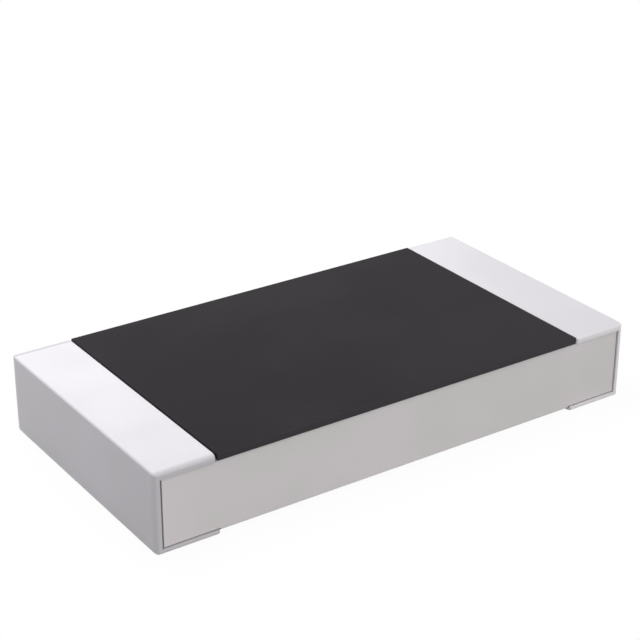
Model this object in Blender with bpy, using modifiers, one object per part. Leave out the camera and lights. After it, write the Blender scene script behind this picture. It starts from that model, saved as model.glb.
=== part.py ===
"""Thick film chip resistor of the 3.2 by 1.6 mm size, standing on its two solder terminations.

X runs along the length, Y across the width and Z up, with the black coat on top. The origin is
the middle of the footprint, at the level of the solder faces. All values are in metres.
"""

import math

import bmesh
import bpy
from mathutils import Matrix

MM = 0.001
MICRON = 0.000001

# Overall length over the finished ends, and the ceramic substrate
CHIP_LENGTH = 3.20 * MM
SUBSTRATE_WIDTH = 1.63 * MM
SUBSTRATE_THICKNESS = 0.43 * MM
SUBSTRATE_EDGE_RADIUS = 8 * MICRON

# Finished solder bands, from the end face of the chip to the tip of the band
TOP_BAND_LENGTH = 373 * MICRON
BOTTOM_BAND_LENGTH = 390 * MICRON

# Silver printed on the ceramic
TOP_ELECTRODE_THICKNESS = 14 * MICRON
BOTTOM_ELECTRODE_THICKNESS = 5 * MICRON
ELECTRODE_WIDTH = 1.46 * MM
ELECTRODE_UNDER_COAT = 300 * MICRON
WRAP_PAST_BOTTOM_ELECTRODE = 40 * MICRON

# Silver wrapped round each end, over the printed silver. Its tips are rounded by this share of
# its thickness there
WRAP_ON_END_THICKNESS = 10 * MICRON
WRAP_ON_BAND_THICKNESS = 5 * MICRON
WRAP_INSET = 2 * MICRON
WRAP_FOLD_RADIUS = 4 * MICRON
WRAP_TIP_SHARE = 0.4
WRAP_SIDE_RADIUS = 2 * MICRON

# Plating, which grows each radius of the wrap by its own thickness, stands out at its sides and
# creeps over the edge of the ceramic there by this share of its thickness
NICKEL_THICKNESS = 6 * MICRON
TIN_THICKNESS = 9 * MICRON
CREEP_SHARE = 0.6
TIN_LIP_RADIUS = 3 * MICRON

# Resistive film, the glass on it, and the coat over both
FILM_THICKNESS = 10 * MICRON
FILM_WIDTH = 1.24 * MM
FILM_ON_ELECTRODE = 170 * MICRON
GLASS_THICKNESS = 6 * MICRON
GLASS_PAST_FILM = 50 * MICRON
COAT_OVER_GLASS = 5 * MICRON
COAT_EDGE_RADIUS = 3 * MICRON

# Laser trim: a plunge from the front edge of the film, then a leg along it
KERF_WIDTH = 45 * MICRON
KERF_OFF_CENTRE = 0.30 * MM
KERF_PLUNGE = 0.42 * MM
KERF_LEG = 0.50 * MM

# Clearance between the fired layers, how far a cutter runs past what it cuts, how near two points
# are one, and how far a facet may lie inside its arc
LAYER_GAP = 1 * MICRON
CUT_PAST = 30 * MICRON
WELD = 0.05 * MICRON
FACET_DEPTH = 0.32 * MICRON

# Build-up on each face of the ceramic, and the levels that it gives
PLATING = NICKEL_THICKNESS + TIN_THICKNESS
END_BUILD = WRAP_ON_END_THICKNESS + PLATING
TOP_BUILD = TOP_ELECTRODE_THICKNESS + WRAP_ON_BAND_THICKNESS + PLATING
BOTTOM_BUILD = BOTTOM_ELECTRODE_THICKNESS + WRAP_ON_BAND_THICKNESS + PLATING
COAT_BUILD = TOP_ELECTRODE_THICKNESS + FILM_THICKNESS + GLASS_THICKNESS + COAT_OVER_GLASS
CERAMIC_BOTTOM = BOTTOM_BUILD
CERAMIC_TOP = CERAMIC_BOTTOM + SUBSTRATE_THICKNESS
ELECTRODE_TOP = CERAMIC_TOP + TOP_ELECTRODE_THICKNESS

# Places along X, measured from the middle of the chip
CHIP_END = CHIP_LENGTH / 2
CERAMIC_END = CHIP_END - END_BUILD
COAT_END = CHIP_END - TOP_BAND_LENGTH
ELECTRODE_TIP = COAT_END - ELECTRODE_UNDER_COAT
FILM_END = ELECTRODE_TIP + FILM_ON_ELECTRODE
GLASS_END = FILM_END + GLASS_PAST_FILM
GLASS_WIDTH = FILM_WIDTH + 2 * GLASS_PAST_FILM

ENDS = {"left": -1, "right": 1}
PIECES = "chip_resistor"
CUTTERS = "cutters"


def empty_scene():
    for obj in list(bpy.data.objects):
        bpy.data.objects.remove(obj, do_unlink=True)
    for name in (PIECES, CUTTERS):
        made = bpy.data.collections.new(name)
        bpy.context.scene.collection.children.link(made)


def finish(name, colour, roughness, metallic=0.0):
    made = bpy.data.materials.new(name)
    made.use_nodes = True
    shader = made.node_tree.nodes["Principled BSDF"]
    shader.inputs["Base Color"].default_value = (*colour, 1.0)
    shader.inputs["Roughness"].default_value = roughness
    shader.inputs["Metallic"].default_value = metallic
    return made


def piece(obj, material):
    obj.data.materials.append(material)
    bpy.data.collections[PIECES].objects.link(obj)
    return obj


def cutter(obj):
    bpy.data.collections[CUTTERS].objects.link(obj)
    obj.hide_render = True
    obj.display_type = "WIRE"
    return obj


def cut(obj, *cutters):
    for tool in cutters:
        boolean = obj.modifiers.new("less " + tool.name, "BOOLEAN")
        boolean.operation = "DIFFERENCE"
        boolean.solver = "EXACT"
        boolean.object = tool


def box(name, length, width, low, high, centre_x=0.0):
    shape = bmesh.new()
    bmesh.ops.create_cube(shape, size=1.0)
    bmesh.ops.scale(shape, vec=(length, width, high - low), verts=shape.verts)
    mesh = bpy.data.meshes.new(name)
    shape.to_mesh(mesh)
    shape.free()
    made = bpy.data.objects.new(name, mesh)
    made.location = (centre_x, 0.0, (low + high) / 2)
    return made


def quarter_steps(radius):
    """How many facets a quarter circle of this radius takes."""
    facet = 2 * math.acos(max(0.0, 1 - FACET_DEPTH / radius))
    return max(1, int(math.pi / 2 / facet))


def break_edges(obj, radius):
    bevel = obj.modifiers.new("broken edges", "BEVEL")
    bevel.width = radius
    bevel.segments = quarter_steps(radius)
    bevel.limit_method = "ANGLE"


def arc(centre, radius, start, end, steps):
    """Points along an arc of an outline, between two angles in degrees."""
    points = []
    for step in range(steps + 1):
        angle = math.radians(start + (end - start) * step / steps)
        points.append((centre[0] + radius * math.cos(angle), centre[1] + radius * math.sin(angle)))
    return points


def flat_solid(name, outline, depth):
    """An outline of X and Y, extruded equally up and down, with its caps welded on."""
    curve = bpy.data.curves.new(name, "CURVE")
    curve.dimensions = "2D"
    curve.fill_mode = "BOTH"
    curve.extrude = depth / 2
    spline = curve.splines.new("POLY")
    spline.points.add(len(outline) - 1)
    for point, (x, y) in zip(spline.points, outline):
        point.co = (x, y, 0.0, 1.0)
    spline.use_cyclic_u = True
    guide = bpy.data.objects.new(name + " outline", curve)
    bpy.context.scene.collection.objects.link(guide)
    graph = bpy.context.evaluated_depsgraph_get()
    mesh = bpy.data.meshes.new_from_object(guide.evaluated_get(graph))
    bpy.data.objects.remove(guide)
    mesh.name = name
    shape = bmesh.new()
    shape.from_mesh(mesh)
    bmesh.ops.remove_doubles(shape, verts=shape.verts, dist=WELD)
    flat = math.radians(0.5)
    bmesh.ops.dissolve_limit(shape, angle_limit=flat, verts=shape.verts, edges=shape.edges)
    bmesh.ops.recalc_face_normals(shape, faces=shape.faces)
    shape.to_mesh(mesh)
    shape.free()
    return bpy.data.objects.new(name, mesh)


def upright_solid(name, outline, width):
    """An outline of X and Z, extruded across the width of the chip."""
    made = flat_solid(name, outline, width)
    made.data.transform(Matrix.Rotation(math.pi / 2, 4, "X"))
    return made


def round_edges(obj, radius, steps, chosen):
    """Rounds the edges that the test picks out."""
    shape = bmesh.new()
    shape.from_mesh(obj.data)
    bmesh.ops.bevel(
        shape,
        geom=[edge for edge in shape.edges if chosen(edge)],
        offset=radius,
        offset_type="OFFSET",
        segments=steps,
        profile=0.5,
        affect="EDGES",
        clamp_overlap=True,
        material=-1,
    )
    bmesh.ops.remove_doubles(shape, verts=shape.verts, dist=WELD)
    shape.to_mesh(obj.data)
    shape.free()


def electrode(name, side, tip, low, high, clear=0.0):
    """Silver printed from where the ceramic's end edge rounds off, in to its tip.

    clear grows it, for a cutter.
    """
    inner = tip - clear
    outer = CERAMIC_END - SUBSTRATE_EDGE_RADIUS + clear
    width = ELECTRODE_WIDTH + 2 * clear
    return box(name, outer - inner, width, low, high, side * (inner + outer) / 2)


def wrap_outline(side, plated, clear, sunk):
    """Section of the silver wrap round one end, with this much plating on it.

    clear grows it outwards, and sunk is how far its inside reaches into the ceramic.
    """
    bare = PLATING - plated
    fold = WRAP_FOLD_RADIUS + plated
    tip = WRAP_TIP_SHARE * WRAP_ON_BAND_THICKNESS + plated
    fold_steps = quarter_steps(fold)
    tip_steps = quarter_steps(tip)
    fold += clear
    tip += clear
    end = END_BUILD - bare + clear
    high = CERAMIC_TOP + TOP_BUILD - bare + clear
    low = bare - clear
    top_reach = TOP_BAND_LENGTH - END_BUILD - bare + clear
    bottom_reach = BOTTOM_BAND_LENGTH - END_BUILD - bare + clear
    points = [(top_reach, CERAMIC_TOP - sunk)]
    points += arc((top_reach - tip, high - tip), tip, 0, 90, tip_steps)
    points += arc((fold - end, high - fold), fold, 90, 180, fold_steps)
    points += arc((fold - end, low + fold), fold, 180, 270, fold_steps)
    points += arc((bottom_reach - tip, low + tip), tip, 270, 360, tip_steps)
    points.append((bottom_reach, CERAMIC_BOTTOM + sunk))
    points.append((sunk, CERAMIC_BOTTOM + sunk))
    points.append((sunk, CERAMIC_TOP - sunk))
    return [(side * (CERAMIC_END - inward), height) for inward, height in points]


def wrap_solid(name, side, plated, clear=0.0, sunk=-LAYER_GAP):
    """All that a wrap and this much plating fill, with rounded sides."""
    width = SUBSTRATE_WIDTH + 2 * (plated + clear - WRAP_INSET)
    made = upright_solid(name, wrap_outline(side, plated, clear, sunk), width)
    radius = WRAP_SIDE_RADIUS + plated
    round_edges(made, radius + clear, quarter_steps(radius), outer_rim)
    return made


def is_side(face):
    return abs(face.normal.y) > 0.9


def against_ceramic(edge):
    near = LAYER_GAP + WELD
    return all(
        abs(end.co.x) < CERAMIC_END + near
        and CERAMIC_BOTTOM - near < end.co.z < CERAMIC_TOP + near
        for end in edge.verts
    )


def is_rim(edge):
    return [is_side(face) for face in edge.link_faces].count(True) == 1


def outer_rim(edge):
    return is_rim(edge) and not against_ceramic(edge)


def lip(edge):
    return is_rim(edge) and against_ceramic(edge)


def film_section(clear=0.0):
    """Half of the film's upper surface, from its lap on the electrode to the middle."""
    over_tip = ELECTRODE_TIP - FILM_THICKNESS / 2
    return [
        (FILM_END + clear, ELECTRODE_TOP + FILM_THICKNESS + clear),
        (over_tip, ELECTRODE_TOP + FILM_THICKNESS + clear),
        (over_tip - TOP_ELECTRODE_THICKNESS, CERAMIC_TOP + FILM_THICKNESS + clear),
    ]


def glass_section(clear=0.0):
    """Half of the glass's upper surface, which follows the film's and drops past its end."""
    over_end = FILM_END + GLASS_THICKNESS / 2
    over_tip = ELECTRODE_TIP - (FILM_THICKNESS + GLASS_THICKNESS) / 2
    high = ELECTRODE_TOP + FILM_THICKNESS + GLASS_THICKNESS + clear
    return [
        (GLASS_END + clear, ELECTRODE_TOP + GLASS_THICKNESS + clear),
        (over_end + FILM_THICKNESS, ELECTRODE_TOP + GLASS_THICKNESS + clear),
        (over_end, high),
        (over_tip, high),
        (over_tip - TOP_ELECTRODE_THICKNESS, high - TOP_ELECTRODE_THICKNESS),
    ]


def both_halves(half):
    return half + [(-x, z) for x, z in reversed(half)]


def stood_on(level, half):
    """A half section closed down to a level at its outer end."""
    return [(half[0][0], level)] + half


def kerf(name, clear):
    """The laser's path, shut by the round of its beam. clear leaves it narrower."""
    half = KERF_WIDTH / 2 - clear
    front = -GLASS_WIDTH / 2 - CUT_PAST
    turn = -FILM_WIDTH / 2 + KERF_PLUNGE
    start = -KERF_OFF_CENTRE
    points = [(start + half, front), (start + half, turn - half)]
    steps = quarter_steps(half)
    points += arc((start + KERF_LEG, turn), half, -90, 90, 2 * steps)
    points += arc((start, turn), half, 90, 180, steps)
    points.append((start - half, front))
    made = flat_solid(name, points, COAT_BUILD + 2 * CUT_PAST)
    made.location.z = CERAMIC_TOP + COAT_BUILD / 2
    return cutter(made)


def substrate(name, clear=0.0):
    """The ceramic's block. clear grows it, for a cutter."""
    length = 2 * (CERAMIC_END + clear)
    width = SUBSTRATE_WIDTH + 2 * clear
    return box(name, length, width, CERAMIC_BOTTOM - clear, CERAMIC_TOP + clear)


def add_substrate():
    """The ceramic itself. Returns the cutter that leaves room for it."""
    alumina = finish("alumina", (0.78, 0.74, 0.75), 0.62)
    made = piece(substrate("ceramic_substrate"), alumina)
    break_edges(made, SUBSTRATE_EDGE_RADIUS)
    return cutter(substrate("ceramic room", LAYER_GAP))


def add_electrodes():
    """Printed silver above and below each end. Returns the cutters that leave room for it."""
    printed = finish("printed silver", (0.71, 0.70, 0.67), 0.48, 1.0)
    low = CERAMIC_BOTTOM - BOTTOM_ELECTRODE_THICKNESS
    bottom_tip = CHIP_END - BOTTOM_BAND_LENGTH + PLATING + WRAP_PAST_BOTTOM_ELECTRODE
    top_room, bottom_room = {}, {}
    for end, side in ENDS.items():
        name = "top_inner_electrode_" + end
        bottom_name = "bottom_inner_electrode_" + end
        level = CERAMIC_TOP + LAYER_GAP
        piece(electrode(name, side, ELECTRODE_TIP, level, ELECTRODE_TOP), printed)
        level = CERAMIC_BOTTOM - LAYER_GAP
        piece(electrode(bottom_name, side, bottom_tip, low, level), printed)
        top_room[end] = cutter(
            electrode(
                name + " room",
                side,
                ELECTRODE_TIP,
                CERAMIC_TOP - CUT_PAST,
                ELECTRODE_TOP + LAYER_GAP,
                LAYER_GAP,
            )
        )
        bottom_room[end] = cutter(
            electrode(
                bottom_name + " room",
                side,
                bottom_tip,
                low - LAYER_GAP,
                CERAMIC_BOTTOM + CUT_PAST,
                LAYER_GAP,
            )
        )
    return top_room, bottom_room


def add_terminations(ceramic_room, top_room, bottom_room):
    """Silver wrap, nickel and tin at each end, each hollowed by what lies under it."""
    silver = finish("wrapped silver", (0.66, 0.65, 0.63), 0.55, 1.0)
    nickel = finish("nickel plate", (0.60, 0.57, 0.53), 0.34, 1.0)
    tin = finish("matte tin plate", (0.84, 0.83, 0.85), 0.42, 1.0)
    for end, side in ENDS.items():
        wrap = wrap_solid("edge_electrode_" + end, side, 0.0)
        cut(wrap, top_room[end], bottom_room[end])
        piece(wrap, silver)

        creep = CREEP_SHARE * NICKEL_THICKNESS
        barrier = wrap_solid("nickel_barrier_" + end, side, NICKEL_THICKNESS, sunk=creep)
        wrap_room = wrap_solid(wrap.name + " room", side, 0.0, LAYER_GAP, CUT_PAST)
        cut(barrier, ceramic_room, cutter(wrap_room), top_room[end])
        piece(barrier, nickel)

        name = barrier.name + " room"
        creep += LAYER_GAP
        barrier_room = wrap_solid(name, side, NICKEL_THICKNESS, LAYER_GAP, creep)
        creep = CREEP_SHARE * PLATING
        plate = wrap_solid("tin_plating_" + end, side, PLATING, sunk=creep)
        round_edges(plate, TIN_LIP_RADIUS, quarter_steps(TIN_LIP_RADIUS), lip)
        cut(plate, ceramic_room, cutter(barrier_room), top_room[end])
        piece(plate, tin)


def add_resistor(top_room):
    """Trimmed film, its glass with the same kerf, and the coat that fills the kerf."""
    ruthenium = finish("ruthenium oxide film", (0.035, 0.036, 0.040), 0.45)
    glass = finish("undercoat glass", (0.06, 0.12, 0.10), 0.15)
    black = finish("black coat", (0.045, 0.042, 0.045), 0.42)
    floor = CERAMIC_TOP + LAYER_GAP
    beam = kerf("kerf", 0.0)

    seat = ELECTRODE_TOP + LAYER_GAP
    foot = [(ELECTRODE_TIP - LAYER_GAP, floor), (ELECTRODE_TIP - LAYER_GAP, seat)]
    section = foot + stood_on(seat, film_section())
    film = upright_solid("resistive_film", both_halves(section), FILM_WIDTH)
    cut(film, beam)
    piece(film, ruthenium)

    under = CERAMIC_TOP - CUT_PAST
    section = both_halves(stood_on(under, film_section(LAYER_GAP)))
    film_room = upright_solid("film room", section, FILM_WIDTH + 2 * LAYER_GAP)
    section = both_halves(stood_on(floor, glass_section()))
    undercoat = upright_solid("glass_undercoat", section, GLASS_WIDTH)
    cut(undercoat, cutter(film_room), *top_room.values(), beam)
    piece(undercoat, glass)

    section = both_halves(stood_on(under, glass_section(LAYER_GAP)))
    glass_room = upright_solid("glass room", section, GLASS_WIDTH + 2 * LAYER_GAP)
    cut(glass_room, kerf("narrow kerf", LAYER_GAP))
    length = 2 * (COAT_END - LAYER_GAP)
    coat = box("protective_overcoat", length, SUBSTRATE_WIDTH, floor, CERAMIC_TOP + COAT_BUILD)
    break_edges(coat, COAT_EDGE_RADIUS)
    cut(coat, cutter(glass_room), *top_room.values())
    piece(coat, black)


def main():
    empty_scene()
    ceramic_room = add_substrate()
    top_room, bottom_room = add_electrodes()
    add_terminations(ceramic_room, top_room, bottom_room)
    add_resistor(top_room)


main()
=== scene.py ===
import math

import bmesh
import bpy
from bpy.props import FloatProperty, FloatVectorProperty, PointerProperty
from mathutils import Euler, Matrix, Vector


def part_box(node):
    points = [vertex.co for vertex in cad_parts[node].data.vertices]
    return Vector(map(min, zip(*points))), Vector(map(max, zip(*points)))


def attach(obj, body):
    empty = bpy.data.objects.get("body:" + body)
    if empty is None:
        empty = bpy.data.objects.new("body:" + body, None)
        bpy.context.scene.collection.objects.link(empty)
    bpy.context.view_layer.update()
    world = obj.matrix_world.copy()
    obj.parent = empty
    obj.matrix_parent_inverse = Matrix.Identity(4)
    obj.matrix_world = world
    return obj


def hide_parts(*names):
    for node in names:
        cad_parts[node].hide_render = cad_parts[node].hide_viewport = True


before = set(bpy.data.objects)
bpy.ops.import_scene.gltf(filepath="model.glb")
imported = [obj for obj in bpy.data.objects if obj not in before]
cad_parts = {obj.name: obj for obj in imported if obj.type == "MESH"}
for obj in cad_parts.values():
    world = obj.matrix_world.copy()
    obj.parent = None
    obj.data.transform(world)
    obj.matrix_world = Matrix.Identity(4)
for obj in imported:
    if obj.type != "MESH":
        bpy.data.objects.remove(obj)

bl_info = {
    "name": "Chip Resistor Finish",
    "version": (1, 0, 0),
    "blender": (4, 5, 0),
    "location": "3D Viewport > Sidebar > Chip Resistor",
    "description": "Rounded, finished pieces over the solids of a thick film chip resistor",
    "category": "Object",
}

MICRON = 0.000001
BODY = "root"

# Boxes of the solids that the finished pieces follow
CERAMIC_LOW, CERAMIC_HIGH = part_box("ceramic_substrate")
COAT_LOW, COAT_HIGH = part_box("protective_overcoat")
TIN_LOW, TIN_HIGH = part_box("tin_plating_right")
NICKEL_LOW, NICKEL_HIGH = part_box("nickel_barrier_right")
SILVER_LOW, SILVER_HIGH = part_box("top_inner_electrode_right")
FILM_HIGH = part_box("resistive_film")[1]
GLASS_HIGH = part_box("glass_undercoat")[1]

TIN_THICKNESS = TIN_HIGH.x - NICKEL_HIGH.x

# The plating creeps over the ceramic's sides by this share of its thickness
CREEP_SHARE = 0.6

# How near two points are one, and how near a point counts as lying in a plane
WELD = 0.02 * MICRON
IN_PLANE = 0.1 * MICRON

# Facets in a rounded edge: outer rims, the block of ceramic, small edges
RIM_STEPS = 10
BLOCK_STEPS = 5
EDGE_STEPS = 4
SHARP_ANGLE = math.radians(40)

# Values of the slow noise between which one shade passes into the other
PATCH_START = 0.35
PATCH_STOP = 0.65

# How much smoother the rubbed edges of the tin are than its faces
RUBBED_POLISH = 0.08

BLACK = (0.0, 0.0, 0.0, 1.0)
WHITE = (1.0, 1.0, 1.0, 1.0)


def length(name, description, microns):
    return FloatProperty(
        name=name,
        description=description,
        default=microns * MICRON,
        min=0.0,
        precision=6,
        subtype="DISTANCE",
        unit="LENGTH",
    )


def share(name, description, default):
    return FloatProperty(
        name=name, description=description, default=default, min=0.0, max=1.0, subtype="FACTOR"
    )


def colour(name, description, default):
    return FloatVectorProperty(
        name=name, description=description, default=default, size=3, min=0.0, max=1.0, subtype="COLOR"
    )


class ResistorSizes(bpy.types.PropertyGroup):
    """Roundings and clearances of the outer pieces"""

    top_band: length("Top band", "From the end face to the tip of the band on top", 373)
    bottom_band: length("Bottom band", "From the end face to the tip of the band underneath", 390)
    tin_round: length("Tin rounding", "Radius of the outer edges of the plating", 19)
    rim_stretch: FloatProperty(
        name="Rim stretch",
        description="How many times wider the plating rounds off across the chip than down it",
        default=2.5,
        min=1.0,
    )
    nickel_round: length("Barrier rounding", "Radius of the outer edges of the layer under the tin", 8)
    lip_round: length("Lip rounding", "Radius where the plating ends on the ceramic", 3)
    creep: length("Creep", "How far the plating reaches over the ceramic's sides", 9)
    ceramic_round: length("Ceramic rounding", "Radius of the edges of the ceramic", 8)
    coat_round: length("Coat rounding", "Radius of the edges of the black coat", 3)
    coat_lap: length("Coat lap", "How far the coat reaches down the ceramic's front side", 5)
    layer_gap: length("Layer gap", "Clearance between one layer and the next", 1)


class ResistorColours(bpy.types.PropertyGroup):
    """Colours of the outer pieces and of the layers under them"""

    tin: colour("Tin", "Matte plated tin", (0.86, 0.835, 0.885))
    tin_shade: colour("Tin shade", "Duller patches of the tin", (0.80, 0.78, 0.82))
    tin_edge: colour("Tin edge", "Edges of the tin, burnished in the barrel", (0.90, 0.88, 0.92))
    # Painted shade: the two side colours darken the tin's long sides and the rims above them, the left
    # end's more than the right end's
    left_side_shade: colour("Left side", "Thin plating on the left end's long sides", (0.60, 0.585, 0.61))
    right_side_shade: colour("Right side", "Thin plating on the right end's long sides", (0.82, 0.80, 0.83))
    ceramic: colour("Ceramic", "As-fired alumina", (0.78, 0.74, 0.755))
    ceramic_shade: colour("Ceramic shade", "Warmer patches of the alumina", (0.74, 0.715, 0.71))
    joint: colour("Joint", "Shade in the joint of plating and ceramic", (0.12, 0.11, 0.115))
    coat: colour("Coat", "Black printed coat", (0.020, 0.017, 0.020))
    coat_shade: colour("Coat shade", "Greyer patches of the coat", (0.025, 0.022, 0.025))
    # Painted light: a lighter colour on the black coat's front side, standing in for light on that face
    coat_side_light: colour("Coat side", "Coat drawn thin over the long edge", (0.046, 0.043, 0.047))
    nickel: colour("Nickel", "Plated nickel", (0.60, 0.57, 0.53))
    silver: colour("Silver", "Fired silver", (0.71, 0.70, 0.67))
    film: colour("Film", "Ruthenium oxide film", (0.035, 0.036, 0.040))
    glass: colour("Glass", "Glass over the film", (0.06, 0.12, 0.10))


class ResistorStage(bpy.types.PropertyGroup):
    """Light and floor"""

    floor: colour("Floor", "Colour that the floor throws on the object", (0.38, 0.38, 0.38))
    sky: FloatProperty(name="Sky", description="Strength of the even light", default=0.12, min=0.0)
    key: FloatProperty(name="Key", description="Strength of the lamp above", default=0.62, min=0.0)
    fill: FloatProperty(name="Fill", description="Strength of the lamp in front", default=1.53, min=0.0)
    soft_box: FloatProperty(
        name="Soft box", description="Power of the lamp over the left end", default=0.00032, min=0.0
    )
    floor_shadow: share("Floor shadow", "How much of the shadow on the floor shows", 0.05)
    shadow_reach: length("Shadow reach", "How far from the object the floor's shadow shows", 400)


def cross_block(corners, half_width):
    """A face of a few X and Z corners, drawn across the width."""
    shape = bmesh.new()
    face = shape.faces.new([shape.verts.new((x, -half_width, z)) for x, z in corners])
    drawn = bmesh.ops.extrude_face_region(shape, geom=[face])
    moved = [item for item in drawn["geom"] if isinstance(item, bmesh.types.BMVert)]
    bmesh.ops.translate(shape, vec=(0.0, 2 * half_width, 0.0), verts=moved)
    bmesh.ops.recalc_face_normals(shape, faces=shape.faces)
    return shape


def slab(low, high):
    shape = bmesh.new()
    bmesh.ops.create_cube(shape, size=1.0)
    bmesh.ops.scale(shape, vec=high - low, verts=shape.verts)
    bmesh.ops.translate(shape, vec=(low + high) / 2, verts=shape.verts)
    return shape


def round_off(shape, edges, radius, steps):
    bmesh.ops.bevel(
        shape,
        geom=edges,
        offset=radius,
        offset_type="OFFSET",
        segments=steps,
        profile=0.5,
        affect="EDGES",
        clamp_overlap=True,
        material=-1,
    )
    bmesh.ops.remove_doubles(shape, verts=shape.verts, dist=WELD)


def to_object(shape, name):
    mesh = bpy.data.meshes.new(name)
    shape.to_mesh(mesh)
    shape.free()
    made = bpy.data.objects.new(name, mesh)
    bpy.context.scene.collection.objects.link(made)
    return made


def ceramic_room(gap):
    """The ceramic's box and the clearance round it, to cut out of what lies on it."""
    around = Vector((gap, gap, gap))
    return to_object(slab(CERAMIC_LOW - around, CERAMIC_HIGH + around), "ceramic room")


def hollowed(obj, rooms):
    """Cuts each room out of a piece and removes the rooms."""
    for room in rooms:
        cut = obj.modifiers.new("less " + room.name, "BOOLEAN")
        cut.operation = "DIFFERENCE"
        cut.solver = "EXACT"
        cut.object = room
    graph = bpy.context.evaluated_depsgraph_get()
    mesh = bpy.data.meshes.new_from_object(obj.evaluated_get(graph))
    obj.modifiers.clear()
    obj.data = mesh
    mesh.name = obj.name
    for room in rooms:
        bpy.data.objects.remove(room)
    if not mesh.polygons:
        raise RuntimeError(obj.name + " was emptied by its rooms")


def smooth_shading(obj):
    """Round edges read as round, and flat faces stay flat."""
    shape = bmesh.new()
    shape.from_mesh(obj.data)
    for face in shape.faces:
        face.smooth = True
    for edge in shape.edges:
        edge.smooth = edge.calc_face_angle(0.0) < SHARP_ANGLE
    shape.to_mesh(obj.data)
    shape.free()
    weighted = obj.modifiers.new("even shading", "WEIGHTED_NORMAL")
    weighted.keep_sharp = True


def add_piece(obj, material, slot, *nodes):
    smooth_shading(obj)
    obj.data.materials.clear()
    obj.data.materials.append(material)
    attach(obj, BODY)
    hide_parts(*nodes)


def new_group(name, inputs, outputs):
    tree = bpy.data.node_groups.new(name, "ShaderNodeTree")
    for label, kind, value in inputs:
        socket = tree.interface.new_socket(label, in_out="INPUT", socket_type="NodeSocket" + kind)
        socket.default_value = value
    for label, kind in outputs:
        tree.interface.new_socket(label, in_out="OUTPUT", socket_type="NodeSocket" + kind)
    return tree, tree.nodes.new("NodeGroupInput"), tree.nodes.new("NodeGroupOutput")


def join(tree, source, target):
    tree.links.new(source, target)


def feed(tree, socket, value):
    """Links a socket, or sets a plain value on it."""
    if isinstance(value, bpy.types.NodeSocket):
        join(tree, value, socket)
    else:
        socket.default_value = value


def math_node(tree, operation, a, b=0.0, clamp=False):
    node = tree.nodes.new("ShaderNodeMath")
    node.operation = operation
    node.use_clamp = clamp
    feed(tree, node.inputs[0], a)
    feed(tree, node.inputs[1], b)
    return node.outputs[0]


def ramp_node(tree, value, start, stop, low=0.0, high=1.0):
    node = tree.nodes.new("ShaderNodeMapRange")
    node.interpolation_type = "SMOOTHSTEP"
    feed(tree, node.inputs["Value"], value)
    feed(tree, node.inputs["From Min"], start)
    feed(tree, node.inputs["From Max"], stop)
    feed(tree, node.inputs["To Min"], low)
    feed(tree, node.inputs["To Max"], high)
    return node.outputs[0]


def mix_colour(tree, share_of_b, a, b):
    node = tree.nodes.new("ShaderNodeMix")
    node.data_type = "RGBA"
    feed(tree, node.inputs[0], share_of_b)
    feed(tree, node.inputs[6], a)
    feed(tree, node.inputs[7], b)
    return node.outputs[2]


def noise_node(tree, vector, scale, detail, roughness=0.5):
    node = tree.nodes.new("ShaderNodeTexNoise")
    feed(tree, node.inputs["Vector"], vector)
    feed(tree, node.inputs["Scale"], scale)
    node.inputs["Detail"].default_value = detail
    node.inputs["Roughness"].default_value = roughness
    return node.outputs["Fac"]


def place_nodes(tree):
    """Object coordinates, as a vector and as X, Y and Z."""
    where = tree.nodes.new("ShaderNodeTexCoord").outputs["Object"]
    split = tree.nodes.new("ShaderNodeSeparateXYZ")
    join(tree, where, split.inputs[0])
    return where, split.outputs


def grain_group():
    """Fine grain over slow patches of a second shade."""
    name = "Fired Or Plated Grain"
    if name in bpy.data.node_groups:
        return bpy.data.node_groups[name]
    tree, given, result = new_group(
        name,
        [
            ("Colour", "Color", (0.8, 0.8, 0.8, 1.0)),
            ("Patch Colour", "Color", (0.7, 0.7, 0.7, 1.0)),
            ("Patch Size", "Float", 800 * MICRON),
            ("Grain Size", "Float", 10 * MICRON),
            ("Grain Tint", "Float", 0.05),
            ("Roughness", "Float", 0.5),
            ("Roughness Spread", "Float", 0.12),
        ],
        [("Colour", "Color"), ("Roughness", "Float"), ("Height", "Float")],
    )
    where = place_nodes(tree)[0]
    patch_scale = math_node(tree, "DIVIDE", 1.0, given.outputs["Patch Size"])
    grain_scale = math_node(tree, "DIVIDE", 1.0, given.outputs["Grain Size"])
    slow = noise_node(tree, where, patch_scale, detail=2.0)
    patch = ramp_node(tree, slow, PATCH_START, PATCH_STOP)
    grain = noise_node(tree, where, grain_scale, detail=3.0, roughness=0.6)
    base = mix_colour(tree, patch, given.outputs["Colour"], given.outputs["Patch Colour"])
    hollow = math_node(tree, "SUBTRACT", 1.0, grain)
    dark = math_node(tree, "MULTIPLY", hollow, given.outputs["Grain Tint"])
    join(tree, mix_colour(tree, dark, base, BLACK), result.inputs["Colour"])
    centred = math_node(tree, "SUBTRACT", grain, 0.5)
    spread = math_node(tree, "MULTIPLY", centred, given.outputs["Roughness Spread"])
    rough = math_node(tree, "ADD", given.outputs["Roughness"], spread, clamp=True)
    join(tree, rough, result.inputs["Roughness"])
    join(tree, grain, result.inputs["Height"])
    return tree


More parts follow.
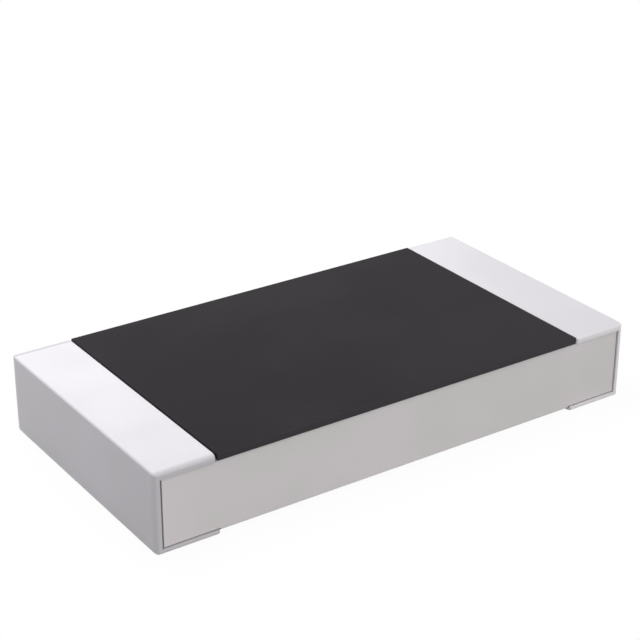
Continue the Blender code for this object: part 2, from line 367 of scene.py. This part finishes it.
def edge_group():
    """Mask of the edges of a box, where two of its faces are near, broken up by noise."""
    name = "Rubbed Edge"
    if name in bpy.data.node_groups:
        return bpy.data.node_groups[name]
    tree, given, result = new_group(
        name,
        [
            ("Half Length", "Float", 1600 * MICRON),
            ("Half Width", "Float", 828 * MICRON),
            ("Low", "Float", 0.0),
            ("High", "Float", 489 * MICRON),
            ("Reach", "Float", 20 * MICRON),
            ("Break Up", "Float", 0.5),
            ("Break Up Size", "Float", 33 * MICRON),
        ],
        [("Mask", "Float")],
    )
    where, (x, y, z) = place_nodes(tree)
    along = math_node(tree, "SUBTRACT", given.outputs["Half Length"], math_node(tree, "ABSOLUTE", x))
    across = math_node(tree, "SUBTRACT", given.outputs["Half Width"], math_node(tree, "ABSOLUTE", y))
    above = math_node(tree, "SUBTRACT", z, given.outputs["Low"])
    below = math_node(tree, "SUBTRACT", given.outputs["High"], z)
    upright = math_node(tree, "MINIMUM", above, below)
    reach = given.outputs["Reach"]
    near = [ramp_node(tree, distance, 0.0, reach, 1.0, 0.0) for distance in (along, across, upright)]
    together = math_node(tree, "ADD", math_node(tree, "ADD", near[0], near[1]), near[2])
    edge = math_node(tree, "SUBTRACT", together, 1.0, clamp=True)
    scale = math_node(tree, "DIVIDE", 1.0, given.outputs["Break Up Size"])
    worn = math_node(tree, "SUBTRACT", noise_node(tree, where, scale, detail=2.0), 0.5)
    kept = math_node(tree, "ADD", math_node(tree, "MULTIPLY", worn, given.outputs["Break Up"]), 1.0)
    join(tree, math_node(tree, "MULTIPLY", edge, kept, clamp=True), result.inputs["Mask"])
    return tree


def painted_side_group():
    """Mask of painted shade and painted light on the chip's long sides and the edges above them, which
    fades out at its end faces.
    """
    name = "Long Sides"
    if name in bpy.data.node_groups:
        return bpy.data.node_groups[name]
    tree, given, result = new_group(
        name,
        [
            ("Half Width", "Float", 828 * MICRON),
            ("Front Reach", "Float", 40 * MICRON),
            ("Back Reach", "Float", 50 * MICRON),
            ("Back Fade", "Float", 8 * MICRON),
            ("Half Length", "Float", 1600 * MICRON),
            ("End Reach", "Float", 19 * MICRON),
        ],
        [("Mask", "Float")],
    )
    x, y = place_nodes(tree)[1][:2]
    edge = given.outputs["Half Width"]
    start = math_node(tree, "SUBTRACT", edge, given.outputs["Front Reach"])
    front = ramp_node(tree, math_node(tree, "MULTIPLY", y, -1.0), start, edge)
    start = math_node(tree, "SUBTRACT", edge, given.outputs["Back Reach"])
    back = ramp_node(tree, y, start, math_node(tree, "ADD", start, given.outputs["Back Fade"]))
    side = math_node(tree, "ADD", front, back)
    stop = given.outputs["Half Length"]
    start = math_node(tree, "SUBTRACT", stop, given.outputs["End Reach"])
    short = ramp_node(tree, math_node(tree, "ABSOLUTE", x), start, stop, 1.0, 0.0)
    join(tree, math_node(tree, "MULTIPLY", side, short), result.inputs["Mask"])
    return tree


def joint_shade_group():
    """Mask of painted shade along the line where the plating ends on the ceramic, wider at the front's
    left end.
    """
    name = "Plating Joint"
    if name in bpy.data.node_groups:
        return bpy.data.node_groups[name]
    tree, given, result = new_group(
        name,
        [
            ("Wall", "Float", 1566 * MICRON),
            ("Top Tip", "Float", 1227 * MICRON),
            ("Bottom Tip", "Float", 1210 * MICRON),
            ("Top Edge", "Float", 446 * MICRON),
            ("Bottom Edge", "Float", 34 * MICRON),
            ("Front Left Width", "Float", 18 * MICRON),
            ("Width", "Float", 4 * MICRON),
            ("Fade", "Float", 4 * MICRON),
            ("Band Width", "Float", 8 * MICRON),
        ],
        [("Mask", "Float")],
    )
    x, y, z = place_nodes(tree)[1]
    along = math_node(tree, "ABSOLUTE", x)
    wall = given.outputs["Wall"]
    ends = []
    in_front = math_node(tree, "LESS_THAN", y, 0.0)
    wide = math_node(tree, "MULTIPLY", math_node(tree, "LESS_THAN", x, 0.0), in_front)
    narrow = math_node(tree, "SUBTRACT", 1.0, wide)
    for label, here in (("Front Left Width", wide), ("Width", narrow)):
        start = math_node(tree, "SUBTRACT", wall, given.outputs[label])
        stop = math_node(tree, "ADD", start, given.outputs["Fade"])
        ends.append(math_node(tree, "MULTIPLY", ramp_node(tree, along, start, stop), here))
    width = given.outputs["Band Width"]
    top = given.outputs["Top Edge"]
    on_top = ramp_node(tree, z, math_node(tree, "SUBTRACT", top, width), top)
    past = math_node(tree, "GREATER_THAN", along, given.outputs["Top Tip"])
    on_top = math_node(tree, "MULTIPLY", on_top, past)
    low = given.outputs["Bottom Edge"]
    under = ramp_node(tree, z, low, math_node(tree, "ADD", low, width), 1.0, 0.0)
    past = math_node(tree, "GREATER_THAN", along, given.outputs["Bottom Tip"])
    under = math_node(tree, "MULTIPLY", under, past)
    end = math_node(tree, "ADD", *ends)
    mask = math_node(tree, "MAXIMUM", end, math_node(tree, "MAXIMUM", on_top, under))
    join(tree, mask, result.inputs["Mask"])
    return tree


def group_node(tree, group, **values):
    node = tree.nodes.new("ShaderNodeGroup")
    node.node_tree = group
    for label, value in values.items():
        feed(tree, node.inputs[label.replace("_", " ")], value)
    return node


def opaque(rgb):
    return (*rgb, 1.0)


def new_material(name):
    made = bpy.data.materials.new(name)
    made.use_nodes = True
    return made, made.node_tree, made.node_tree.nodes["Principled BSDF"]


def bump(tree, shader, height, depth):
    node = tree.nodes.new("ShaderNodeBump")
    node.inputs["Strength"].default_value = 1.0
    node.inputs["Distance"].default_value = depth
    join(tree, height, node.inputs["Height"])
    join(tree, node.outputs["Normal"], shader.inputs["Normal"])


def hidden_layer(name, rgb, shade_share, roughness, metallic, grain_size, depth):
    """Finish of a fired or plated layer under the outer pieces."""
    made, tree, shader = new_material(name)
    grained = group_node(
        tree,
        grain_group(),
        Colour=opaque(rgb),
        Patch_Colour=opaque(rgb * shade_share),
        Patch_Size=400 * MICRON,
        Grain_Size=grain_size,
        Roughness=roughness,
    )
    join(tree, grained.outputs["Colour"], shader.inputs["Base Color"])
    join(tree, grained.outputs["Roughness"], shader.inputs["Roughness"])
    shader.inputs["Metallic"].default_value = metallic
    bump(tree, shader, grained.outputs["Height"], depth)
    return made


def matte_tin(name, colours, side_shade_colour):
    """Tin plated in a barrel, which burnishes its edges, with painted shade on the long sides and the
    rounded edges above them.
    """
    made, tree, shader = new_material(name)
    grained = group_node(
        tree,
        grain_group(),
        Colour=opaque(colours.tin),
        Patch_Colour=opaque(colours.tin_shade),
        Patch_Size=900 * MICRON,
        Grain_Size=9 * MICRON,
        Roughness=0.45,
    )
    rubbed = group_node(
        tree,
        edge_group(),
        Half_Length=TIN_HIGH.x,
        Half_Width=TIN_HIGH.y,
        Low=TIN_LOW.z,
        High=TIN_HIGH.z,
    ).outputs["Mask"]
    bright = mix_colour(tree, rubbed, grained.outputs["Colour"], opaque(colours.tin_edge))
    # Painted shade: a darker colour on the long sides and the back rim of the tin
    side = group_node(tree, painted_side_group(), Half_Width=TIN_HIGH.y, Half_Length=TIN_HIGH.x).outputs["Mask"]
    join(tree, mix_colour(tree, side, bright, opaque(side_shade_colour)), shader.inputs["Base Color"])
    polish = math_node(tree, "MULTIPLY", rubbed, RUBBED_POLISH)
    rough = math_node(tree, "SUBTRACT", grained.outputs["Roughness"], polish)
    join(tree, rough, shader.inputs["Roughness"])
    shader.inputs["Metallic"].default_value = 0.1
    bump(tree, shader, grained.outputs["Height"], 0.5 * MICRON)
    return made


def fired_ceramic(sizes, colours):
    made, tree, shader = new_material("as-fired alumina")
    grained = group_node(
        tree,
        grain_group(),
        Colour=opaque(colours.ceramic),
        Patch_Colour=opaque(colours.ceramic_shade),
        Patch_Size=600 * MICRON,
        Grain_Size=6 * MICRON,
        Roughness=0.62,
        Roughness_Spread=0.15,
    )
    # Painted shade: a dark line on the ceramic along the edge of the plating
    joint = group_node(
        tree,
        joint_shade_group(),
        Wall=CERAMIC_HIGH.x - sizes.creep,
        Top_Tip=TIN_HIGH.x - sizes.top_band,
        Bottom_Tip=TIN_HIGH.x - sizes.bottom_band,
        Top_Edge=CERAMIC_HIGH.z - sizes.creep,
        Bottom_Edge=CERAMIC_LOW.z + sizes.creep,
    ).outputs["Mask"]
    shaded = mix_colour(tree, joint, grained.outputs["Colour"], opaque(colours.joint))
    join(tree, shaded, shader.inputs["Base Color"])
    join(tree, grained.outputs["Roughness"], shader.inputs["Roughness"])
    bump(tree, shader, grained.outputs["Height"], 0.4 * MICRON)
    return made


def printed_coat(colours):
    made, tree, shader = new_material("black printed coat")
    grained = group_node(
        tree,
        grain_group(),
        Colour=opaque(colours.coat),
        Patch_Colour=opaque(colours.coat_shade),
        Patch_Size=900 * MICRON,
        Grain_Size=12 * MICRON,
        Grain_Tint=0.15,
        Roughness=0.65,
        Roughness_Spread=0.15,
    )
    # Painted light: the coat's front side is made lighter
    side = group_node(
        tree,
        painted_side_group(),
        Half_Width=TIN_HIGH.y,
        Front_Reach=5 * MICRON,
        Back_Reach=5 * MICRON,
    ).outputs["Mask"]
    drawn = mix_colour(tree, side, grained.outputs["Colour"], opaque(colours.coat_side_light))
    join(tree, drawn, shader.inputs["Base Color"])
    join(tree, grained.outputs["Roughness"], shader.inputs["Roughness"])
    shader.inputs["Specular IOR Level"].default_value = 0.13
    bump(tree, shader, grained.outputs["Height"], 0.6 * MICRON)
    return made


def wrap_block(reach, half_width, low, high, top_tip, bottom_tip, sunk, radius, lip, stretch):
    """A C shaped block round the right end of the ceramic, with rounded outer edges.

    sunk is how far its inside reaches into the ceramic's box, lip rounds its inner rim, and
    stretch widens the rounding of its sides across the chip.
    """
    wall = CERAMIC_HIGH.x - sunk
    over = CERAMIC_HIGH.z - sunk
    under = CERAMIC_LOW.z + sunk
    narrow = half_width / stretch
    shape = cross_block(
        [
            (top_tip, over),
            (top_tip, high),
            (reach, high),
            (reach, low),
            (bottom_tip, low),
            (bottom_tip, under),
            (wall, under),
            (wall, over),
        ],
        narrow,
    )

    def inside(vert):
        return vert.co.x < wall + IN_PLANE and under - IN_PLANE < vert.co.z < over + IN_PLANE

    def on_side(vert):
        return abs(vert.co.y) > narrow - IN_PLANE

    rim = [edge for edge in shape.edges if not all(inside(vert) for vert in edge.verts)]
    round_off(shape, rim, radius, RIM_STEPS)
    if lip:
        inner = [
            edge for edge in shape.edges if all(inside(vert) and on_side(vert) for vert in edge.verts)
        ]
        round_off(shape, inner, lip, EDGE_STEPS)
    bmesh.ops.scale(shape, vec=(1.0, stretch, 1.0), verts=shape.verts)
    return shape


def mirrored(obj, name):
    """A copy of a piece at the other end of the chip."""
    shape = bmesh.new()
    shape.from_mesh(obj.data)
    bmesh.ops.scale(shape, vec=(-1.0, 1.0, 1.0), verts=shape.verts)
    bmesh.ops.reverse_faces(shape, faces=shape.faces)
    return to_object(shape, name)


class OBJECT_OT_resistor_ceramic(bpy.types.Operator):
    """Adds the ceramic block with its edges rounded by firing"""

    bl_idname = "object.resistor_ceramic"
    bl_label = "Ceramic Block"

    def execute(self, context):
        sizes = context.scene.resistor_sizes
        shape = slab(CERAMIC_LOW, CERAMIC_HIGH)
        round_off(shape, list(shape.edges), sizes.ceramic_round, BLOCK_STEPS)
        block = to_object(shape, "ceramic_block")
        material = fired_ceramic(sizes, context.scene.resistor_colours)
        add_piece(block, material, "alumina", "ceramic_substrate")
        return {"FINISHED"}


class OBJECT_OT_resistor_coat(bpy.types.Operator):
    """Adds the black coat, printed a little to the front, where it laps over the long edge"""

    bl_idname = "object.resistor_coat"
    bl_label = "Black Coat"

    def execute(self, context):
        sizes = context.scene.resistor_sizes
        gap = sizes.layer_gap
        shape = slab(Vector((COAT_LOW.x, TIN_LOW.y, CERAMIC_HIGH.z - sizes.coat_lap)), COAT_HIGH)
        round_off(shape, list(shape.edges), sizes.coat_round, EDGE_STEPS)
        coat = to_object(shape, "black_coat")
        hollowed(coat, [ceramic_room(gap), self.glass_room(gap), *self.silver_rooms(gap)])
        material = printed_coat(context.scene.resistor_colours)
        add_piece(coat, material, "black_coat", "protective_overcoat")
        return {"FINISHED"}

    def glass_room(self, gap):
        """Room for the glass, which steps down over the film's ends and over the silver's tips."""
        glass = GLASS_HIGH.z - FILM_HIGH.z
        film = FILM_HIGH.z - SILVER_HIGH.z
        step = SILVER_HIGH.z - CERAMIC_HIGH.z
        lower = SILVER_HIGH.z + glass + gap
        upper = GLASS_HIGH.z + gap
        over_end = FILM_HIGH.x + glass / 2
        over_tip = SILVER_LOW.x - (film + glass) / 2
        half = [
            (GLASS_HIGH.x + gap, CERAMIC_LOW.z),
            (GLASS_HIGH.x + gap, lower),
            (over_end + film, lower),
            (over_end, upper),
            (over_tip, upper),
            (over_tip - step, upper - step),
        ]
        outline = half + [(-x, z) for x, z in reversed(half)]
        return to_object(cross_block(outline, GLASS_HIGH.y + gap), "glass room")

    def silver_rooms(self, gap):
        near = Vector((SILVER_LOW.x - gap, SILVER_LOW.y - gap, CERAMIC_LOW.z))
        far = SILVER_HIGH + Vector((gap, gap, gap))
        rooms = []
        for side in (-1, 1):
            low = Vector((min(side * near.x, side * far.x), near.y, near.z))
            high = Vector((max(side * near.x, side * far.x), far.y, far.z))
            rooms.append(to_object(slab(low, high), "silver room"))
        return rooms


class OBJECT_OT_resistor_plating(bpy.types.Operator):
    """Adds the tin plating round both ends, hollow where the layers under it lie"""

    bl_idname = "object.resistor_plating"
    bl_label = "Tin Plating"

    def execute(self, context):
        sizes = context.scene.resistor_sizes
        plating = to_object(self.outside(sizes), "tin_plating_right_end")
        hollowed(plating, [ceramic_room(sizes.layer_gap), self.nickel_room(sizes)])
        other = mirrored(plating, "tin_plating_left_end")
        colours = context.scene.resistor_colours
        # The two ends get their own tin, with different painted shade on their long sides
        right_tin = matte_tin("matte tin of the right end", colours, colours.right_side_shade)
        left_tin = matte_tin("matte tin of the left end", colours, colours.left_side_shade)
        add_piece(plating, right_tin, "tin", "tin_plating_right")
        add_piece(other, left_tin, "tin", "tin_plating_left")
        return {"FINISHED"}

    def outside(self, sizes):
        return wrap_block(
            reach=TIN_HIGH.x,
            half_width=TIN_HIGH.y,
            low=TIN_LOW.z,
            high=TIN_HIGH.z,
            top_tip=TIN_HIGH.x - sizes.top_band,
            bottom_tip=TIN_HIGH.x - sizes.bottom_band,
            sunk=sizes.creep,
            radius=sizes.tin_round,
            lip=sizes.lip_round,
            stretch=sizes.rim_stretch,
        )

    def nickel_room(self, sizes):
        gap = sizes.layer_gap
        tip = TIN_HIGH.x + TIN_THICKNESS - gap
        shape = wrap_block(
            reach=NICKEL_HIGH.x + gap,
            half_width=NICKEL_HIGH.y + gap,
            low=NICKEL_LOW.z - gap,
            high=NICKEL_HIGH.z + gap,
            top_tip=tip - sizes.top_band,
            bottom_tip=tip - sizes.bottom_band,
            sunk=sizes.creep - TIN_THICKNESS * CREEP_SHARE + gap,
            radius=sizes.nickel_round + gap,
            lip=0.0,
            stretch=1.0,
        )
        return to_object(shape, "nickel room")


class OBJECT_OT_resistor_layers(bpy.types.Operator):
    """Gives the hidden layers their finishes"""

    bl_idname = "object.resistor_layers"
    bl_label = "Hidden Layers"

    def execute(self, context):
        colours = context.scene.resistor_colours
        nickel = hidden_layer(
            "satin nickel",
            colours.nickel,
            shade_share=0.9,
            roughness=0.34,
            metallic=1.0,
            grain_size=5 * MICRON,
            depth=0.2 * MICRON,
        )
        silver = hidden_layer(
            "fired silver",
            colours.silver,
            shade_share=0.9,
            roughness=0.52,
            metallic=1.0,
            grain_size=10 * MICRON,
            depth=0.6 * MICRON,
        )
        film = hidden_layer(
            "ruthenium oxide",
            colours.film,
            shade_share=1.3,
            roughness=0.4,
            metallic=0.0,
            grain_size=8 * MICRON,
            depth=0.4 * MICRON,
        )
        glass = hidden_layer(
            "undercoat glass",
            colours.glass,
            shade_share=1.2,
            roughness=0.15,
            metallic=0.0,
            grain_size=30 * MICRON,
            depth=0.1 * MICRON,
        )
        finishes = {
            "nickel_barrier": nickel,
            "edge_electrode": silver,
            "top_inner_electrode": silver,
            "bottom_inner_electrode": silver,
            "resistive_film": film,
            "glass_undercoat": glass,
        }
        for name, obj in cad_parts.items():
            for start, material in finishes.items():
                if name.startswith(start):
                    obj.data.materials.clear()
                    obj.data.materials.append(material)
        return {"FINISHED"}


class SCENE_OT_resistor_stage(bpy.types.Operator):
    """Adds the floor, the light and the camera"""

    bl_idname = "scene.resistor_stage"
    bl_label = "Stage"

    # Angles are in degrees, and a lamp's spread is the angle that it fills
    KEY_SPREAD = 70
    KEY_TURN = (8, 4, 0)
    FILL_SPREAD = 60
    FILL_TURN = (60, 0, 12)
    SKY_COLOUR = (1.0, 0.995, 1.0, 1.0)
    SOFT_BOX_PLACE = Vector((-0.0018, 0.004, 0.005))
    SOFT_BOX_SIZE = 0.006
    CAMERA_PLACE = Vector((-0.0051561, -0.007487, 0.0048808))
    CAMERA_TURN = (64.8109, -0.1567, -34.3526)
    CAMERA_LENS = 97.212

    def execute(self, context):
        stage = context.scene.resistor_stage
        self.floor(stage)
        self.world(context.scene, stage)
        self.lamp("key lamp", stage.key, self.KEY_SPREAD, self.KEY_TURN)
        self.lamp("fill lamp", stage.fill, self.FILL_SPREAD, self.FILL_TURN)
        self.soft_box(stage.soft_box)
        self.camera(context.scene)
        context.scene.view_settings.view_transform = "Standard"
        return {"FINISHED"}

    def seen_share(self, tree):
        """1 for rays that should see the white background."""
        path = tree.nodes.new("ShaderNodeLightPath")
        seen = math_node(tree, "MAXIMUM", path.outputs["Is Camera Ray"], path.outputs["Is Glossy Ray"])
        return math_node(tree, "MAXIMUM", seen, path.outputs["Is Transmission Ray"])

    def floor(self, stage):
        """A white floor, whose shadow shows only beside the object."""
        shape = bmesh.new()
        bmesh.ops.create_grid(shape, x_segments=1, y_segments=1, size=1.0)
        bmesh.ops.translate(shape, vec=(0.0, 0.0, -MICRON), verts=shape.verts)
        floor = to_object(shape, "floor")
        made, tree, shader = new_material("pale floor")
        seen = self.seen_share(tree)
        thrown = mix_colour(tree, seen, opaque(stage.floor), WHITE)
        join(tree, thrown, shader.inputs["Base Color"])
        shader.inputs["Roughness"].default_value = 0.9
        shader.inputs["Specular IOR Level"].default_value = 0.0
        glow = tree.nodes.new("ShaderNodeEmission")
        glow.inputs["Color"].default_value = WHITE
        glow.inputs["Strength"].default_value = 1.0
        x, y = place_nodes(tree)[1][:2]
        along = math_node(tree, "SUBTRACT", math_node(tree, "ABSOLUTE", x), TIN_HIGH.x)
        across = math_node(tree, "SUBTRACT", math_node(tree, "ABSOLUTE", y), TIN_HIGH.y)
        away = math_node(tree, "MAXIMUM", along, across)
        lit = ramp_node(tree, away, 0.0, stage.shadow_reach, 1.0 - stage.floor_shadow, 1.0)
        part = tree.nodes.new("ShaderNodeMixShader")
        join(tree, math_node(tree, "MULTIPLY", seen, lit), part.inputs[0])
        join(tree, shader.outputs[0], part.inputs[1])
        join(tree, glow.outputs[0], part.inputs[2])
        join(tree, part.outputs[0], tree.nodes["Material Output"].inputs["Surface"])
        floor.data.materials.append(made)

    def world(self, scene, stage):
        world = bpy.data.worlds.new("studio")
        world.use_nodes = True
        tree = world.node_tree
        light = tree.nodes["Background"]
        light.inputs["Color"].default_value = self.SKY_COLOUR
        light.inputs["Strength"].default_value = stage.sky
        white = tree.nodes.new("ShaderNodeBackground")
        white.inputs["Color"].default_value = WHITE
        white.inputs["Strength"].default_value = 1.0
        part = tree.nodes.new("ShaderNodeMixShader")
        join(tree, self.seen_share(tree), part.inputs[0])
        join(tree, light.outputs[0], part.inputs[1])
        join(tree, white.outputs[0], part.inputs[2])
        join(tree, part.outputs[0], tree.nodes["World Output"].inputs["Surface"])
        scene.world = world

    def lamp(self, name, strength, spread, turned):
        lamp = bpy.data.lights.new(name, "SUN")
        lamp.energy = strength
        lamp.angle = math.radians(spread)
        obj = bpy.data.objects.new(name, lamp)
        obj.rotation_euler = Euler([math.radians(angle) for angle in turned])
        obj.visible_glossy = False
        bpy.context.scene.collection.objects.link(obj)

    def soft_box(self, strength):
        lamp = bpy.data.lights.new("soft box", "AREA")
        lamp.energy = strength
        lamp.shape = "SQUARE"
        lamp.size = self.SOFT_BOX_SIZE
        obj = bpy.data.objects.new("soft box", lamp)
        obj.location = self.SOFT_BOX_PLACE
        obj.rotation_euler = self.SOFT_BOX_PLACE.to_track_quat("Z", "Y").to_euler()
        obj.visible_glossy = False
        obj.visible_camera = False
        bpy.context.scene.collection.objects.link(obj)

    def camera(self, scene):
        data = bpy.data.cameras.new("camera")
        data.sensor_width = 36.0
        data.lens = self.CAMERA_LENS
        data.clip_start = 10 * MICRON
        data.clip_end = 10.0
        camera = bpy.data.objects.new("camera", data)
        camera.location = self.CAMERA_PLACE
        camera.rotation_euler = Euler([math.radians(angle) for angle in self.CAMERA_TURN])
        scene.collection.objects.link(camera)
        scene.camera = camera


STEPS = (
    OBJECT_OT_resistor_ceramic,
    OBJECT_OT_resistor_coat,
    OBJECT_OT_resistor_plating,
    OBJECT_OT_resistor_layers,
    SCENE_OT_resistor_stage,
)


class VIEW3D_PT_resistor(bpy.types.Panel):
    """Sizes, colours and steps of the chip resistor"""

    bl_idname = "VIEW3D_PT_resistor"
    bl_label = "Chip Resistor"
    bl_space_type = "VIEW_3D"
    bl_region_type = "UI"
    bl_category = "Chip Resistor"

    def draw(self, context):
        column = self.layout.column()
        for name in ("resistor_sizes", "resistor_colours", "resistor_stage"):
            settings = getattr(context.scene, name)
            for prop in settings.__annotations__:
                column.prop(settings, prop)
        for step in STEPS:
            column.operator(step.bl_idname)


CLASSES = (ResistorSizes, ResistorColours, ResistorStage, *STEPS, VIEW3D_PT_resistor)


def register():
    for cls in CLASSES:
        bpy.utils.register_class(cls)
    bpy.types.Scene.resistor_sizes = PointerProperty(type=ResistorSizes)
    bpy.types.Scene.resistor_colours = PointerProperty(type=ResistorColours)
    bpy.types.Scene.resistor_stage = PointerProperty(type=ResistorStage)


def unregister():
    del bpy.types.Scene.resistor_stage
    del bpy.types.Scene.resistor_colours
    del bpy.types.Scene.resistor_sizes
    for cls in reversed(CLASSES):
        bpy.utils.unregister_class(cls)


def corners(box):
    return [list(corner) for corner in box]


def main():
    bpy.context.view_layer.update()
    register()
    bpy.ops.object.resistor_ceramic()
    bpy.ops.object.resistor_coat()
    bpy.ops.object.resistor_plating()
    bpy.ops.object.resistor_layers()
    bpy.ops.scene.resistor_stage()


if __name__ == "__main__":
    main()
